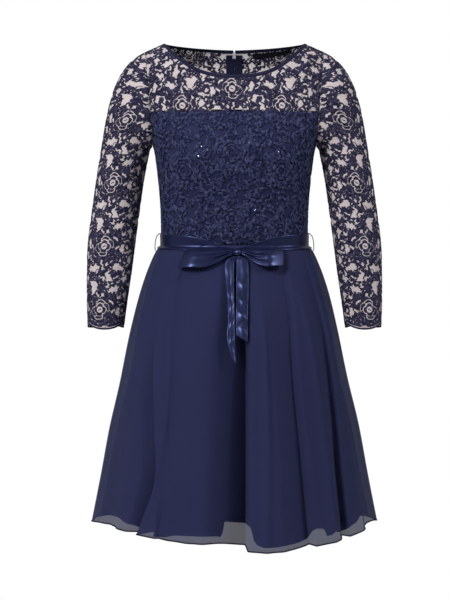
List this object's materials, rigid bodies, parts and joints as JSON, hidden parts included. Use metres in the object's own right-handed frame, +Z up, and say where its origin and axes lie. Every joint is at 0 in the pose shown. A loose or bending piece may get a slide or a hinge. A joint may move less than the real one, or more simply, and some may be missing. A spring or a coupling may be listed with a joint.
{
  "type": "cocktail dress",
  "caption": "Worn-form cocktail dress: lace bodice and long sleeves, see-through yoke, ribbon belt with a bow, flared chiffon skirt over a lining.",
  "frame": {"origin": "midway between the shoulders on the wearer's shoulder line, where the wearer holds the dress up", "axes": "+X towards the wearer's left, +Y towards the back, +Z up; the front faces -Y"},
  "size_m": [0.5618, 0.4789, 0.9224],
  "materials": {
    "lace": "navy floral cord lace, matt",
    "lining": "navy woven lining, softly sheening",
    "chiffon": "navy chiffon, matt and sheer where single",
    "satin": "navy satin ribbon, glossy",
    "binding": "dark navy edge binding and thread",
    "label": "black woven label, blank",
    "tape": "navy woven zip tape",
    "zip_metal": "pale nickel-plated zip slider and pull"
  },
  "bodies": {
    "dress": {"lace_front": "lace", "lace_back_left": "lace", "lace_back_right": "lace", "sleeve_front_left": "lace", "sleeve_back_left": "lace", "sleeve_front_right": "lace", "sleeve_back_right": "lace", "bodice_lining_front": "lining", "bodice_lining_back_left": "lining", "bodice_lining_back_right": "lining", "skirt_lining_front": "lining", "skirt_lining_back": "lining", "skirt_front": "chiffon", "skirt_back_left": "chiffon", "skirt_back_right": "chiffon", "belt_ribbon": "satin", "bow_knot": "satin", "bow_loop_left": "satin", "bow_loop_right": "satin", "bow_tail_left": "satin", "bow_tail_right": "satin", "neck_binding": "binding", "belt_loop_left": "binding", "belt_loop_right": "binding", "neck_label": "label", "zip_tape_left": "tape", "zip_tape_right": "tape", "zip_slider": "zip_metal"},
    "zip_pull": {"zip_pull": "zip_metal"}
  },
  "joints": [
    {"name": "zip_pull_swing", "type": "hinge", "parent": "dress", "child": "zip_pull", "pos_m": [0, 0.09033, -0.0083], "axis": [1, 0, 0], "range_deg": [0, 125]}
  ]
}
